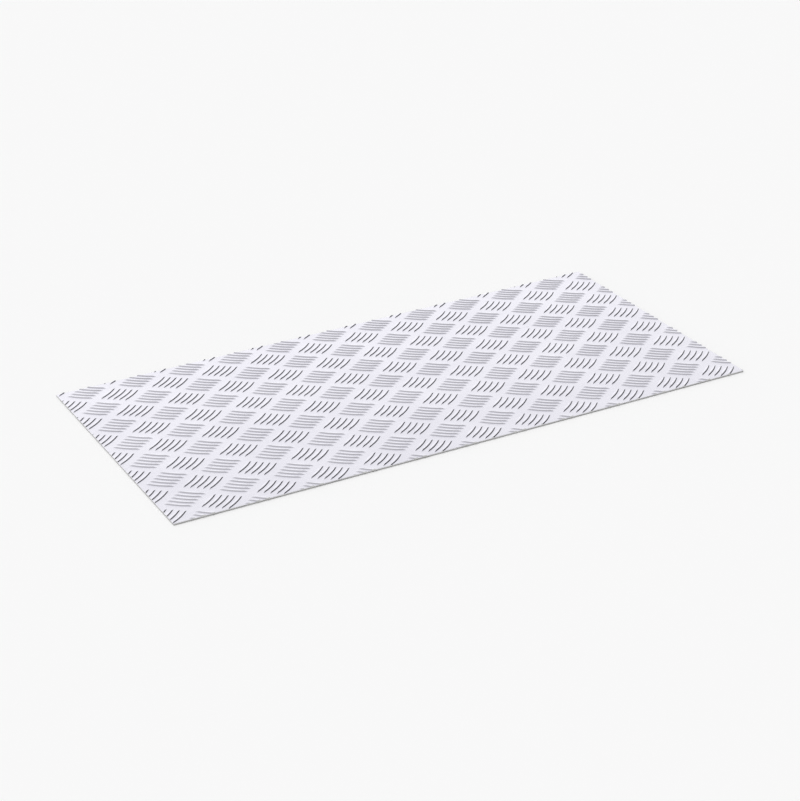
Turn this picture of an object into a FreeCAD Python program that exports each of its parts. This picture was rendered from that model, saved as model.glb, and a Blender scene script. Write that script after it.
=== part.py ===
import FreeCAD, Part
import os

import Sketcher

# Aluminium tread plate, 1000 x 500 mm, in 2.5 mm sheet: one piece of rolled stock, sheared to size.
# Millimetres, +Z up. The plate lies flat with the centre of its smooth underside at the origin,
# its long side along X, and the tread side up.

PLATE = "tread_plate"


# ---------------------------------------------------------------- driving dimensions

DRIVING_SIZES = (
    ("plate_length", 1000.0, "long side of the sheared sheet, along X"),
    ("plate_width", 500.0, "short side of the sheared sheet, along Y"),
    ("sheet_thickness", 2.5, "metal between the underside and the ground of the tread"),
    ("shear_rollover", 0.3, "radius where the shear's blade drew the upper edges down"),
)


def make_size_sheet(doc):
    """Write the driving dimensions into a spreadsheet, one row each, with the name as alias."""
    sheet = doc.addObject("Spreadsheet::Sheet", "sizes")
    for row, (name, value, meaning) in enumerate(DRIVING_SIZES, start=1):
        sheet.set(f"A{row}", name)
        sheet.set(f"B{row}", str(value))
        sheet.set(f"C{row}", meaning)
        sheet.setAlias(f"B{row}", name)
    doc.recompute()
    return sheet


# ---------------------------------------------------------------- the plate

def origin_plane(body, role):
    """Return the body's own origin plane that has this role."""
    return next(feature for feature in body.Origin.OriginFeatures if feature.Role == role)


def draw_outline(body):
    """Sketch the sheared outline: a rectangle centred on the body's origin."""
    outline = body.newObject("Sketcher::SketchObject", "sheared_outline")
    outline.AttachmentSupport = [(origin_plane(body, "XY_Plane"), "")]
    outline.MapMode = "FlatFace"

    half_length = DRIVING_SIZES[0][1] / 2
    half_width = DRIVING_SIZES[1][1] / 2
    corners = [
        FreeCAD.Vector(-half_length, -half_width, 0),
        FreeCAD.Vector(half_length, -half_width, 0),
        FreeCAD.Vector(half_length, half_width, 0),
        FreeCAD.Vector(-half_length, half_width, 0),
    ]
    near, right, far, left = range(4)
    for start, end in zip(corners, corners[1:] + corners[:1]):
        outline.addGeometry(Part.LineSegment(start, end), False)

    first, last = 1, 2
    sketch_origin = (-1, 1)
    for side, following in ((near, right), (right, far), (far, left), (left, near)):
        outline.addConstraint(Sketcher.Constraint("Coincident", side, last, following, first))
    outline.addConstraint(Sketcher.Constraint("Horizontal", near))
    outline.addConstraint(Sketcher.Constraint("Horizontal", far))
    outline.addConstraint(Sketcher.Constraint("Vertical", right))
    outline.addConstraint(Sketcher.Constraint("Vertical", left))
    outline.addConstraint(Sketcher.Constraint("Symmetric", near, first, far, first, *sketch_origin))

    length = outline.addConstraint(Sketcher.Constraint("DistanceX", near, first, near, last, 2 * half_length))
    width = outline.addConstraint(Sketcher.Constraint("DistanceY", right, first, right, last, 2 * half_width))
    outline.renameConstraint(length, "length")
    outline.renameConstraint(width, "width")
    outline.setExpression("Constraints.length", "sizes.plate_length")
    outline.setExpression("Constraints.width", "sizes.plate_width")
    return outline


def upper_edges(shape):
    """Name the edges that bound the top face, for the roll-over."""
    top = shape.BoundBox.ZMax
    return [
        f"Edge{number}"
        for number, edge in enumerate(shape.Edges, start=1)
        if min(vertex.Z for vertex in edge.Vertexes) > top - 1e-6
    ]


def make_plate(doc):
    """Roll the sheet, shear its outline, and draw its upper edges down as the blade does."""
    body = doc.addObject("PartDesign::Body", PLATE)
    body.Label = PLATE
    outline = draw_outline(body)

    sheet_metal = body.newObject("PartDesign::Pad", "sheet_metal")
    sheet_metal.Profile = outline
    sheet_metal.setExpression("Length", "sizes.sheet_thickness")
    doc.recompute()

    rollover = body.newObject("PartDesign::Fillet", "shear_rollover_edges")
    rollover.Base = (sheet_metal, upper_edges(sheet_metal.Shape))
    rollover.setExpression("Radius", "sizes.shear_rollover")
    body.Tip = rollover
    doc.recompute()
    return body


# ---------------------------------------------------------------- checks and output

def check_document(doc, bodies):
    """Stop if any object failed to compute, or a body isn't one valid solid."""
    for item in doc.Objects:
        failed = {"Invalid", "Error"} & set(item.State)
        if failed:
            raise RuntimeError(f"{item.Name} did not compute: {sorted(failed)}")
    for body in bodies:
        if body.Shape.isNull() or not body.Shape.isValid():
            raise RuntimeError(f"{body.Label} has no valid shape")
        if len(body.Shape.Solids) != 1:
            raise RuntimeError(f"{body.Label} is not one solid")


def write_parts(bodies):
    """Write each body's shape to its own STEP file, named by its label."""
    os.makedirs("parts", exist_ok=True)
    for body in bodies:
        body.Shape.exportStep(f"parts/{body.Label}.step")
        box = body.Shape.BoundBox
        print(f"{body.Label}: {box.XLength:.2f} x {box.YLength:.2f} x {box.ZLength:.2f} mm, "
              f"{body.Shape.Volume:.0f} mm3")


document = FreeCAD.newDocument("aluminium_tread_plate")
make_size_sheet(document)
pieces = [make_plate(document)]
check_document(document, pieces)
write_parts(pieces)
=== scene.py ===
import math
import random

import bmesh
import bpy
from mathutils import Matrix, Vector, geometry


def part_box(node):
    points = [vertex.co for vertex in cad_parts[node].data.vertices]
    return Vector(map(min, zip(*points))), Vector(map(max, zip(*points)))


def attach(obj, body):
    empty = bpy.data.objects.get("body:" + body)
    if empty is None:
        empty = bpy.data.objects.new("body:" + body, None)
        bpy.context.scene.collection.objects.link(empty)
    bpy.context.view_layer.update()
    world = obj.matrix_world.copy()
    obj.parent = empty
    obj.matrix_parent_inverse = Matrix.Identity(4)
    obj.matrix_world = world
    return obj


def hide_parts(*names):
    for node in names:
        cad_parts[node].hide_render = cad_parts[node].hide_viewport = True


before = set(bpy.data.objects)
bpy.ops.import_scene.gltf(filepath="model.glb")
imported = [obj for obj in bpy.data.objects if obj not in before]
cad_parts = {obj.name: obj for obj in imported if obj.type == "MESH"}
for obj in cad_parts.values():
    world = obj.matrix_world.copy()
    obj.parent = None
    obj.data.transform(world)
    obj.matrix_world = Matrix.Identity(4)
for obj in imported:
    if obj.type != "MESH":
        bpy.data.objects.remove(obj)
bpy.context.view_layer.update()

# Aluminium tread plate, lying flat with its tread up. Metres, in the frame of the construction:
# +X along the long side, +Y along the short side, origin at the centre of the smooth underside.

# ---------------------------------------------------------------- sizes of the rolled tread

LOW, HIGH = (Vector(corner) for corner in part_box("tread_plate"))
GROUND = HIGH.z                     # level of the flat metal between the bars

BAR_LENGTH = 0.0440
BAR_WIDTH = 0.0051                  # at the foot; in plan a bar is two arcs that meet in points
BAR_HEIGHT = 0.0015
FLANK = (                           # how far in from the foot, and how high
    (-0.00018, 0.0),
    (0.00006, 0.00011),
    (0.00092, 0.00120),
    (0.00124, 0.00141),
)
BARS_IN_GROUP = 5
BAR_SPACING = 0.0100                # along the other diagonal, bar to bar
BAR_UNEVENNESS = 0.03               # share by which the rolls press one bar higher than the next

GROUP_PITCH_X = 0.0877              # between groups that lean the same way
GROUP_PITCH_Y = 0.0702
LEAN = math.atan2(GROUP_PITCH_Y, GROUP_PITCH_X)
TREAD_TURN = math.radians(-0.42)    # the shear doesn't cut quite square to the rolls
TREAD_START = Vector((-0.4103, 0.1970))

OUTLINE_POINTS = 22                 # round the foot of one bar
SIDE_RADIUS = (BAR_LENGTH ** 2 + BAR_WIDTH ** 2) / (4 * BAR_WIDTH)
SIDE_CENTRE = SIDE_RADIUS - BAR_WIDTH / 2

# ---------------------------------------------------------------- sizes of the sheared edge

ROLLOVER = 0.0003                   # radius to which the blade drew the upper edge down
ROLLOVER_STEPS = 3
BURNISHED_DEPTH = 0.45              # share of the thickness that the blade cut bright
FRACTURE_STEP = 0.00005             # how far the torn lower part stands back
EDGE_BREAK = 0.00012                # the deburred lower arris
CUT_MARGIN = 0.060                  # flat metal laid past the outline before it is sheared
SMALLEST_BAR = 0.0025               # a cut bar with less than this left is not made
SLIVER = 0.00002                    # points of the cut nearer than this are one point
NO_LENGTH = 0.000002                # an edge shorter than this is dissolved
TOUCHING = 1e-7                     # how near counts as on a line or a plane
UNDERSIDE_GRID = 0.100
CREASE = math.radians(40)           # faces that meet more steeply than this shade as an edge

TOP, CUT, BOTTOM = range(3)         # material slots of the plate


# ---------------------------------------------------------------- the tread

def half_length(inset):
    """Half the length of a bar's outline, drawn in from the foot by this much."""
    return math.sqrt((SIDE_RADIUS - inset) ** 2 - SIDE_CENTRE ** 2)


def outline(inset):
    """Points round a bar, drawn in from the foot, counterclockwise from the right tip."""
    points = []
    for step in range(OUTLINE_POINTS):
        angle = math.tau * step / OUTLINE_POINTS
        along = half_length(inset) * math.cos(angle)
        across = math.sqrt((SIDE_RADIUS - inset) ** 2 - along ** 2) - SIDE_CENTRE
        points.append(Vector((along, math.copysign(across, math.sin(angle)))))
    return points


def ridge_height(along):
    """Height of the crest over the middle line, which falls towards the tips."""
    inset = SIDE_RADIUS - math.hypot(SIDE_CENTRE, along)
    shoulder, height = FLANK[-1]
    share = (inset - shoulder) / (BAR_WIDTH / 2 - shoulder)
    return height + (BAR_HEIGHT - height) * share


def length_on_sheet(centre, direction):
    """How much of a bar's middle line lies on the sheet."""
    half_bar = Vector((math.cos(direction), math.sin(direction))) * BAR_LENGTH / 2
    steps = 44
    points = [centre + half_bar * (2 * step / steps - 1) for step in range(steps + 1)]
    inside = [point for point in points if LOW.x < point.x < HIGH.x and LOW.y < point.y < HIGH.y]
    return BAR_LENGTH * len(inside) / len(points)


def bar_places():
    """Centre and direction of every bar that lies on the sheet, whole or cut."""
    span = HIGH - LOW
    turn = Matrix.Rotation(TREAD_TURN, 2)
    columns = range(-2, math.ceil(span.x / GROUP_PITCH_X) + 2)
    rows = range(-2, math.ceil(span.y / GROUP_PITCH_Y) + 2)
    for lean, offset in ((LEAN, 0.0), (-LEAN, 0.5)):
        direction = lean + TREAD_TURN
        stacking = Vector((math.cos(lean), -math.sin(lean))) * BAR_SPACING
        for column in columns:
            for row in rows:
                middle = Vector(((column + offset) * GROUP_PITCH_X, -(row + offset) * GROUP_PITCH_Y))
                for bar in range(BARS_IN_GROUP):
                    local = middle + stacking * (bar - (BARS_IN_GROUP - 1) / 2)
                    centre = TREAD_START + turn @ local
                    if length_on_sheet(centre, direction) > SMALLEST_BAR:
                        yield centre, direction


def add_bar(mesh, centre, direction, evenness):
    """Lay one bar's rings of faces, from its foot to its crest, and return the foot's vertices."""
    turn = Matrix.Rotation(direction, 2)
    rings = []
    for inset, height in FLANK:
        level = Vector((0, 0, GROUND + height * evenness))
        rings.append([mesh.verts.new((centre + turn @ point).to_3d() + level) for point in outline(inset)])
    count = OUTLINE_POINTS
    for outer, inner in zip(rings, rings[1:]):
        for step in range(count):
            following = (step + 1) % count
            mesh.faces.new((outer[step], outer[following], inner[following], inner[step]))

    last = rings[-1]
    ridge = []
    for step in range(1, count // 2):
        along = half_length(FLANK[-1][0]) * math.cos(math.tau * step / count)
        place = centre + turn @ Vector((along, 0))
        ridge.append(mesh.verts.new((place.x, place.y, GROUND + ridge_height(along) * evenness)))
    for step in range(len(ridge) - 1):
        mesh.faces.new((last[step + 1], last[step + 2], ridge[step + 1], ridge[step]))
        mesh.faces.new((last[count - step - 2], last[count - step - 1], ridge[step], ridge[step + 1]))
    mesh.faces.new((last[0], last[1], ridge[0]))
    mesh.faces.new((last[count - 1], last[0], ridge[0]))
    mesh.faces.new((last[count // 2 - 1], last[count // 2], ridge[-1]))
    mesh.faces.new((last[count // 2], last[count // 2 + 1], ridge[-1]))
    return rings[0]


def add_ground(mesh, feet):
    """Fill the flat metal between the bars' feet, out to the margin."""
    reach = (HIGH - LOW) / 2 + Vector((CUT_MARGIN, CUT_MARGIN, 0))
    corners = [(-reach.x, -reach.y), (reach.x, -reach.y), (reach.x, reach.y), (-reach.x, reach.y)]
    rim = [mesh.verts.new((x, y, GROUND)) for x, y in corners]
    verts = [vert for foot in feet for vert in foot] + rim
    loops = []
    first = 0
    for foot in [*feet, rim]:
        loops.append(list(range(first, first + len(foot))))
        first += len(foot)
    plan = [vert.co.to_2d() for vert in verts]
    result = geometry.delaunay_2d_cdt(plan, [], loops, 0, TOUCHING, True)
    triangles, vert_sources, face_sources = result[2], result[3], result[5]
    outside_bars = [len(loops) - 1]
    for triangle, sources in zip(triangles, face_sources):
        if sources == outside_bars:
            mesh.faces.new([verts[vert_sources[corner][0]] for corner in triangle])


def shear_outline(mesh):
    """Cut the tread to the sheet's outline, less the roll-over of its upper edge."""
    for axis in (0, 1):
        for side, corner in ((-1, LOW), (1, HIGH)):
            normal = Vector((0, 0, 0))
            normal[axis] = side
            place = Vector((0, 0, 0))
            place[axis] = corner[axis] - side * ROLLOVER
            everything = mesh.verts[:] + mesh.edges[:] + mesh.faces[:]
            bmesh.ops.bisect_plane(
                mesh, geom=everything, dist=TOUCHING, plane_co=place, plane_no=normal, clear_outer=True
            )
    rim = [vert for vert in mesh.verts if vert.is_boundary]
    bmesh.ops.remove_doubles(mesh, verts=rim, dist=SLIVER)
    bmesh.ops.dissolve_degenerate(mesh, dist=NO_LENGTH, edges=mesh.edges[:])


# ---------------------------------------------------------------- the sheared edge and the underside

def boundary_loop(mesh):
    """Vertices round the cut tread, in order, counterclockwise from above."""
    edges = [edge for edge in mesh.edges if edge.is_boundary]
    start = edges[0].verts[0]
    loop = [start]
    edge = edges[0]
    here = edge.other_vert(start)
    while here is not start:
        loop.append(here)
        edge = next(other for other in here.link_edges if other.is_boundary and other is not edge)
        here = edge.other_vert(here)
    area = sum(a.co.x * b.co.y - b.co.x * a.co.y for a, b in zip(loop, loop[1:] + loop[:1]))
    return loop if area > 0 else loop[::-1]


def outward(point):
    """Plan direction out of the side that this point is on, or out of both sides at a corner."""
    near_side = ROLLOVER * 1.01
    direction = Vector((0, 0, 0))
    for axis in (0, 1):
        if point[axis] - LOW[axis] < near_side:
            direction[axis] = -1
        elif HIGH[axis] - point[axis] < near_side:
            direction[axis] = 1
    return direction


def add_edges(mesh, loop):
    """Wall the sheet down from the tread: roll-over, bright cut, torn part and broken lower arris."""
    rows = []
    for step in range(1, ROLLOVER_STEPS + 1):
        angle = math.pi / 2 * step / ROLLOVER_STEPS
        rows.append((ROLLOVER * (math.sin(angle) - 1), ROLLOVER * (1 - math.cos(angle)), None))
    rows.append((0.0, None, GROUND * (1 - BURNISHED_DEPTH)))
    rows.append((-FRACTURE_STEP, None, GROUND * (1 - BURNISHED_DEPTH) - FRACTURE_STEP))
    rows.append((0.0, None, EDGE_BREAK * 2))
    rows.append((-EDGE_BREAK, None, LOW.z))

    upper = loop
    count = len(loop)
    for row, (stand, drop, level) in enumerate(rows):
        lower = []
        for vert in loop:
            place = vert.co + outward(vert.co) * (ROLLOVER + stand)
            place.z = level if drop is None else vert.co.z - drop
            lower.append(mesh.verts.new(place))
        for step in range(count):
            following = (step + 1) % count
            face = mesh.faces.new((upper[step], lower[step], lower[following], upper[following]))
            face.material_index = TOP if row < ROLLOVER_STEPS else CUT
        upper = lower
    return upper


def add_underside(mesh, rim):
    """Close the smooth underside with even triangles between the rim and a coarse grid."""
    plan = [vert.co.to_2d() for vert in rim]
    verts = list(rim)
    across = int((HIGH.x - LOW.x) / UNDERSIDE_GRID)
    deep = int((HIGH.y - LOW.y) / UNDERSIDE_GRID)
    for column in range(1, across):
        for row in range(1, deep):
            place = (LOW.x + column * UNDERSIDE_GRID, LOW.y + row * UNDERSIDE_GRID, LOW.z)
            verts.append(mesh.verts.new(place))
            plan.append(verts[-1].co.to_2d())
    result = geometry.delaunay_2d_cdt(plan, [], [list(range(len(rim)))], 1, TOUCHING, True)
    triangles, vert_sources = result[2], result[3]
    for triangle in triangles:
        corners = [verts[vert_sources[corner][0]] for corner in triangle]
        face = mesh.faces.new(corners[::-1])
        face.material_index = BOTTOM


def make_plate():
    """The whole sheet as one closed mesh: tread, sheared edges and underside."""
    rolls = random.Random(7)
    mesh = bmesh.new()
    feet = []
    for centre, direction in bar_places():
        evenness = 1 - BAR_UNEVENNESS * rolls.random()
        feet.append(add_bar(mesh, centre, direction, evenness))
    add_ground(mesh, feet)
    shear_outline(mesh)
    rim = add_edges(mesh, boundary_loop(mesh))
    add_underside(mesh, rim)
    for face in mesh.faces:
        face.smooth = face.material_index == TOP
    for edge in mesh.edges:
        faces = edge.link_faces
        changes = len(faces) == 2 and faces[0].material_index != faces[1].material_index
        edge.smooth = edge.calc_face_angle(0.0) < CREASE and not changes
    data = bpy.data.meshes.new("tread_plate_sheet")
    mesh.to_mesh(data)
    mesh.free()

    plate = bpy.data.objects.new("tread_plate_sheet", data)
    bpy.context.collection.objects.link(plate)
    shading = plate.modifiers.new("even_shading", "WEIGHTED_NORMAL")
    shading.mode = "FACE_AREA"
    shading.keep_sharp = True
    return plate


# ---------------------------------------------------------------- finishes

def new_group(name, inputs, outputs):
    """Start a shader node group with named sockets, and return it with its two end nodes."""
    group = bpy.data.node_groups.new(name, "ShaderNodeTree")
    for label, default in inputs:
        socket = group.interface.new_socket(label, in_out="INPUT", socket_type="NodeSocketFloat")
        socket.default_value = default
    for label in outputs:
        group.interface.new_socket(label, in_out="OUTPUT", socket_type="NodeSocketFloat")
    return group, group.nodes.new("NodeGroupInput"), group.nodes.new("NodeGroupOutput")


def math_node(tree, operation, first, second):
    """Add a math node; each operand is a socket or a number."""
    node = tree.nodes.new("ShaderNodeMath")
    node.operation = operation
    for socket, value in zip(node.inputs, (first, second)):
        if isinstance(value, (int, float)):
            socket.default_value = value
        else:
            tree.links.new(value, socket)
    return node.outputs[0]


def noise_node(tree, stretch, scale, detail):
    """Noise in the plate's own coordinates, stretched by a factor for each axis."""
    coordinates = tree.nodes.new("ShaderNodeTexCoord")
    mapping = tree.nodes.new("ShaderNodeMapping")
    mapping.inputs["Scale"].default_value = stretch
    tree.links.new(coordinates.outputs["Object"], mapping.inputs["Vector"])
    noise = tree.nodes.new("ShaderNodeTexNoise")
    noise.inputs["Detail"].default_value = detail
    tree.links.new(mapping.outputs["Vector"], noise.inputs["Vector"])
    if isinstance(scale, (int, float)):
        noise.inputs["Scale"].default_value = scale
    else:
        tree.links.new(scale, noise.inputs["Scale"])
    return noise.outputs["Fac"]


def remap(tree, value, low, high, new_low, new_high):
    """Map a value from one range onto another, clamped."""
    node = tree.nodes.new("ShaderNodeMapRange")
    tree.links.new(value, node.inputs["Value"])
    for label, number in zip(("From Min", "From Max", "To Min", "To Max"), (low, high, new_low, new_high)):
        node.inputs[label].default_value = number
    return node.outputs["Result"]


def make_rolling_grain():
    """Fine lines that the mill's rolls leave along the sheet."""
    group, given, result = new_group("rolling_grain", [("Fineness", 900.0), ("Depth", 1.0)], ["Lines"])
    fine = noise_node(group, (0.02, 1.0, 1.0), given.outputs["Fineness"], 3.0)
    lines = math_node(group, "SUBTRACT", fine, 0.5)
    group.links.new(math_node(group, "MULTIPLY", lines, given.outputs["Depth"]), result.inputs["Lines"])
    return group


def make_mill_cloud():
    """Slow changes of tone over the sheet, from the rolls and from handling."""
    group, given, result = new_group("mill_cloud", [("Size", 9.0), ("Strength", 1.0)], ["Cloud"])
    slow = noise_node(group, (0.6, 1.0, 1.0), given.outputs["Size"], 4.0)
    cloud = math_node(group, "SUBTRACT", slow, 0.5)
    group.links.new(math_node(group, "MULTIPLY", cloud, given.outputs["Strength"]), result.inputs["Cloud"])
    return group


def make_handling_scuffs():
    """Short faint scratches in two directions, from stacking and sliding."""
    group, given, result = new_group("handling_scuffs", [("Amount", 0.5)], ["Scuffs"])
    one = remap(group, noise_node(group, (0.05, 1.0, 1.0), 260.0, 2.0), 0.63, 0.70, 0.0, 1.0)
    other = remap(group, noise_node(group, (1.0, 0.07, 1.0), 210.0, 2.0), 0.64, 0.71, 0.0, 1.0)
    either = math_node(group, "MAXIMUM", one, other)
    group.links.new(math_node(group, "MULTIPLY", either, given.outputs["Amount"]), result.inputs["Scuffs"])
    return group


def place_group(tree, group, **values):
    """Put a node group in a material with its own values."""
    node = tree.nodes.new("ShaderNodeGroup")
    node.node_tree = group
    for label, value in values.items():
        node.inputs[label].default_value = value
    return node.outputs[0]


def metal(name):
    """Start a bare-metal material, and return it with its node tree and its Principled node."""
    material = bpy.data.materials.new(name)
    material.use_nodes = True
    tree = material.node_tree
    surface = tree.nodes["Principled BSDF"]
    surface.inputs["Metallic"].default_value = 1.0
    return material, tree, surface


def tint(tree, factor, dark, light):
    """Mix two colours by a mask."""
    colour_a, colour_b, colour_result = 6, 7, 2     # the colour sockets among a mix node's many
    mix = tree.nodes.new("ShaderNodeMix")
    mix.data_type = "RGBA"
    tree.links.new(factor, mix.inputs["Factor"])
    mix.inputs[colour_a].default_value = (*dark, 1.0)
    mix.inputs[colour_b].default_value = (*light, 1.0)
    return mix.outputs[colour_result]


def weighted(tree, start, *parts):
    """Sum of a number and of masks, each mask times its own weight."""
    total = start
    for mask, weight in parts:
        total = math_node(tree, "ADD", math_node(tree, "MULTIPLY", mask, weight), total)
    return total


def bump(tree, surface, height, distance):
    """Drive the surface's normal from a height mask."""
    node = tree.nodes.new("ShaderNodeBump")
    node.inputs["Distance"].default_value = distance
    tree.links.new(height, node.inputs["Height"])
    tree.links.new(node.outputs["Normal"], surface.inputs["Normal"])


def level_in_plate(tree):
    """Height above the underside."""
    coordinates = tree.nodes.new("ShaderNodeTexCoord")
    split = tree.nodes.new("ShaderNodeSeparateXYZ")
    tree.links.new(coordinates.outputs["Object"], split.inputs["Vector"])
    return split.outputs["Z"]


def make_bright_tread(grain, cloud, scuffs):
    """Bright rolled face: pale metal, fine rolling lines, and crests painted lighter as a highlight."""
    dark, light = (0.81, 0.80, 0.88), (0.94, 0.93, 1.0)
    middle_shade = 0.5
    middle_roughness = 0.20
    line_depth = 0.00008
    scuff_depth = 0.4               # against the rolling lines

    material, tree, surface = metal("bright_rolled_tread")
    lines = place_group(tree, grain, Fineness=900.0, Depth=1.0)
    tone = place_group(tree, cloud, Size=9.0, Strength=1.0)
    marks = place_group(tree, scuffs, Amount=0.5)
    crest = remap(tree, level_in_plate(tree), GROUND, GROUND + BAR_HEIGHT, 0.0, 1.0)

    # Painted highlight: the crest mask lightens the metal's colour the higher it stands on a bar.
    shade = weighted(tree, middle_shade, (tone, 1.1), (crest, 0.35), (lines, 0.8), (marks, -0.25))
    tree.links.new(tint(tree, shade, dark, light), surface.inputs["Base Color"])
    rough = weighted(tree, middle_roughness, (tone, 0.12), (marks, 0.10), (lines, 0.15), (crest, -0.04))
    tree.links.new(rough, surface.inputs["Roughness"])
    bump(tree, surface, weighted(tree, lines, (marks, -scuff_depth)), line_depth)
    return material


def make_sheared_edge(grain, cloud):
    """Sheared face: a bright cut band over a duller torn band, with upright drag lines."""
    dark, light = (0.42, 0.42, 0.42), (0.68, 0.68, 0.67)
    cut_shade = 0.75
    cut_roughness = 0.33
    boundary = GROUND * (1 - BURNISHED_DEPTH)
    wander = GROUND * 0.4           # how far the boundary of the two bands strays
    softness = GROUND * 0.04
    drag_depth = 0.00008

    material, tree, surface = metal("sheared_edge")
    tone = place_group(tree, cloud, Size=60.0, Strength=1.2)
    lines = place_group(tree, grain, Fineness=1500.0, Depth=1.0)
    drag = noise_node(tree, (1.0, 1.0, 0.03), 1800.0, 2.0)
    ragged = noise_node(tree, (1.0, 1.0, 0.2), 240.0, 3.0)
    grit = noise_node(tree, (1.0, 1.0, 1.0), 5200.0, 3.0)

    stray = math_node(tree, "SUBTRACT", ragged, 0.5)
    level = weighted(tree, level_in_plate(tree), (stray, wander))
    torn = remap(tree, level, boundary - softness, boundary + softness, 1.0, 0.0)

    shade = weighted(tree, cut_shade, (tone, 1.0), (lines, 1.0), (torn, -0.5))
    tree.links.new(tint(tree, shade, dark, light), surface.inputs["Base Color"])
    rough = weighted(tree, cut_roughness, (torn, 0.22))
    tree.links.new(rough, surface.inputs["Roughness"])
    height = math_node(tree, "ADD", drag, math_node(tree, "MULTIPLY", grit, torn))
    bump(tree, surface, height, drag_depth)
    return material


def make_mill_underside(grain, cloud, scuffs):
    """Smooth mill face: plain rolling lines, cloudier and a little duller than the tread."""
    dark, light = (0.76, 0.76, 0.79), (0.88, 0.88, 0.91)
    middle_shade = 0.5
    middle_roughness = 0.34
    line_depth = 0.00005

    material, tree, surface = metal("mill_underside")
    lines = place_group(tree, grain, Fineness=600.0, Depth=1.0)
    tone = place_group(tree, cloud, Size=6.0, Strength=1.4)
    marks = place_group(tree, scuffs, Amount=0.8)

    shade = weighted(tree, middle_shade, (tone, 1.0))
    tree.links.new(tint(tree, shade, dark, light), surface.inputs["Base Color"])
    rough = weighted(tree, middle_roughness, (tone, 0.15), (marks, 0.12))
    tree.links.new(rough, surface.inputs["Roughness"])
    bump(tree, surface, math_node(tree, "SUBTRACT", lines, marks), line_depth)
    return material


# ---------------------------------------------------------------- floor, light and camera

SURROUND = 1.15                     # strength of the light from all round
DIMMED_PARTS = (                    # direction, where the dimming starts and ends, share of light lost
    ((-0.3, -0.3, 0.9), 0.60, 0.85, 0.32),          # overhead
    ((0.95, 0.12, 0.30), 0.80, 0.93, 0.90),         # low at the right, which darkens the bars' flanks
    ((0.1, -1.0, 0.4), 0.0, 0.9, 0.20),             # from the viewer's side
    ((0.0, -0.476, 0.879), -0.12, 0.12, 0.30),      # the higher part of what the flat metal mirrors
)
FILL_STRENGTH = 1.34
FILL_SPREAD = math.radians(60)
FILL_DIRECTION = Vector((-0.25, 0.35, 1.0))
BACKGROUND = 0.94                   # linear value of the pale floor and of what lies past it
FLOOR_SIZE = 60.0
FLOOR_GAP = 0.0002


def make_floor():
    """A plain pale floor that takes the plate's shadow."""
    bpy.ops.mesh.primitive_plane_add(size=FLOOR_SIZE, location=(0, 0, LOW.z - FLOOR_GAP))
    floor = bpy.context.object
    floor.name = "studio_floor"
    material = bpy.data.materials.new("pale_floor")
    material.use_nodes = True
    surface = material.node_tree.nodes["Principled BSDF"]
    surface.inputs["Base Color"].default_value = (BACKGROUND, BACKGROUND, BACKGROUND, 1.0)
    surface.inputs["Roughness"].default_value = 1.0
    surface.inputs["Specular IOR Level"].default_value = 0.0
    floor.data.materials.append(material)


def dimmed_towards(tree, facing, direction, start, end, share):
    """Factor that falls by this share where the surround faces a direction."""
    dot = tree.nodes.new("ShaderNodeVectorMath")
    dot.operation = "DOT_PRODUCT"
    tree.links.new(facing, dot.inputs[0])
    dot.inputs[1].default_value = Vector(direction).normalized()
    fall = tree.nodes.new("ShaderNodeMapRange")
    fall.interpolation_type = "SMOOTHSTEP"
    tree.links.new(dot.outputs["Value"], fall.inputs["Value"])
    for label, number in zip(("From Min", "From Max", "To Min", "To Max"), (start, end, 1.0, 1.0 - share)):
        fall.inputs[label].default_value = number
    return fall.outputs["Result"]


def make_world():
    """Soft white surround with dimmer parts, so that the bars show in the bright metal."""
    world = bpy.data.worlds.new("studio_surround")
    bpy.context.scene.world = world
    world.use_nodes = True
    tree = world.node_tree
    background = tree.nodes["Background"]
    background.inputs["Color"].default_value = (1.0, 1.0, 1.0, 1.0)
    facing = tree.nodes.new("ShaderNodeTexCoord").outputs["Generated"]
    level = SURROUND
    for direction, start, end, share in DIMMED_PARTS:
        level = math_node(tree, "MULTIPLY", dimmed_towards(tree, facing, direction, start, end, share), level)

    path = tree.nodes.new("ShaderNodeLightPath")
    seen = tree.nodes.new("ShaderNodeMix")
    seen.data_type = "FLOAT"
    tree.links.new(path.outputs["Is Camera Ray"], seen.inputs["Factor"])
    tree.links.new(level, seen.inputs["A"])
    seen.inputs["B"].default_value = BACKGROUND
    tree.links.new(seen.outputs["Result"], background.inputs["Strength"])


def make_lamp():
    """A broad fill from above that lifts the floor and lays a faint shadow under the plate."""
    lamp = bpy.data.lights.new("overhead_fill", "SUN")
    lamp.energy = FILL_STRENGTH
    lamp.angle = FILL_SPREAD
    holder = bpy.data.objects.new("overhead_fill", lamp)
    bpy.context.collection.objects.link(holder)
    holder.rotation_euler = FILL_DIRECTION.to_track_quat("Z", "Y").to_euler()
    holder.visible_glossy = False


def make_camera():
    """Look down across the plate from its near left corner."""
    lens_length = 93.3
    place = Vector((-1.3958, -2.7167, 1.4396))
    target = Vector((-0.0319, -0.0590, 0.0025))
    lean = math.radians(1.79)

    camera = bpy.data.cameras.new("camera")
    camera.lens = lens_length
    camera.clip_end = FLOOR_SIZE * 2
    holder = bpy.data.objects.new("camera", camera)
    bpy.context.collection.objects.link(holder)
    aim = (target - place).to_track_quat("-Z", "Y").to_matrix()
    holder.matrix_world = Matrix.Translation(place) @ (aim @ Matrix.Rotation(-lean, 3, "Z")).to_4x4()
    bpy.context.scene.camera = holder


# ---------------------------------------------------------------- put together

def main():
    grain = make_rolling_grain()
    cloud = make_mill_cloud()
    scuffs = make_handling_scuffs()

    plate = make_plate()
    plate.data.materials.append(make_bright_tread(grain, cloud, scuffs))
    plate.data.materials.append(make_sheared_edge(grain, cloud))
    plate.data.materials.append(make_mill_underside(grain, cloud, scuffs))
    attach(plate, "root")
    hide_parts("tread_plate")

    make_floor()
    make_world()
    make_lamp()
    make_camera()
    bpy.context.scene.view_settings.view_transform = "Standard"


main()
